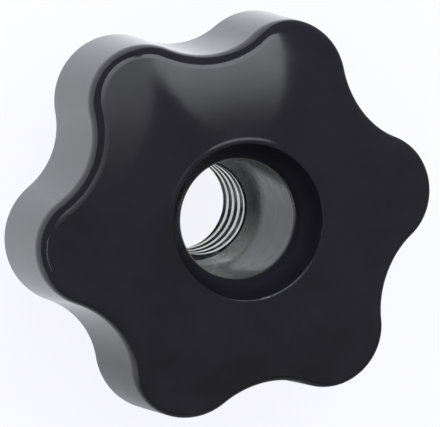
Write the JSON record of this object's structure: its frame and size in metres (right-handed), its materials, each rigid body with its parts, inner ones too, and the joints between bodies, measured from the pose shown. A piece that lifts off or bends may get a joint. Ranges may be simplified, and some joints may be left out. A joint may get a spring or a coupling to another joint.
{
  "type": "star knob",
  "caption": "Lobed star knob with a domed front, a through bore with a conical mouth and a moulded-in threaded metal bush.",
  "frame": {"origin": "on the knob's axis, in the plane of the bush's back end, which is the face the knob stands on", "axes": "+Z along the knob's axis, out of the domed front; +X through the middle of one lobe"},
  "size_m": [0.035, 0.0316, 0.0198],
  "materials": {
    "black_moulding": "polished black thermoset moulding",
    "plated_steel": "turned and tapped, bright plated"
  },
  "bodies": {
    "root": {"knob_body": "black_moulding", "threaded_bush": "plated_steel"}
  },
  "joints": []
}
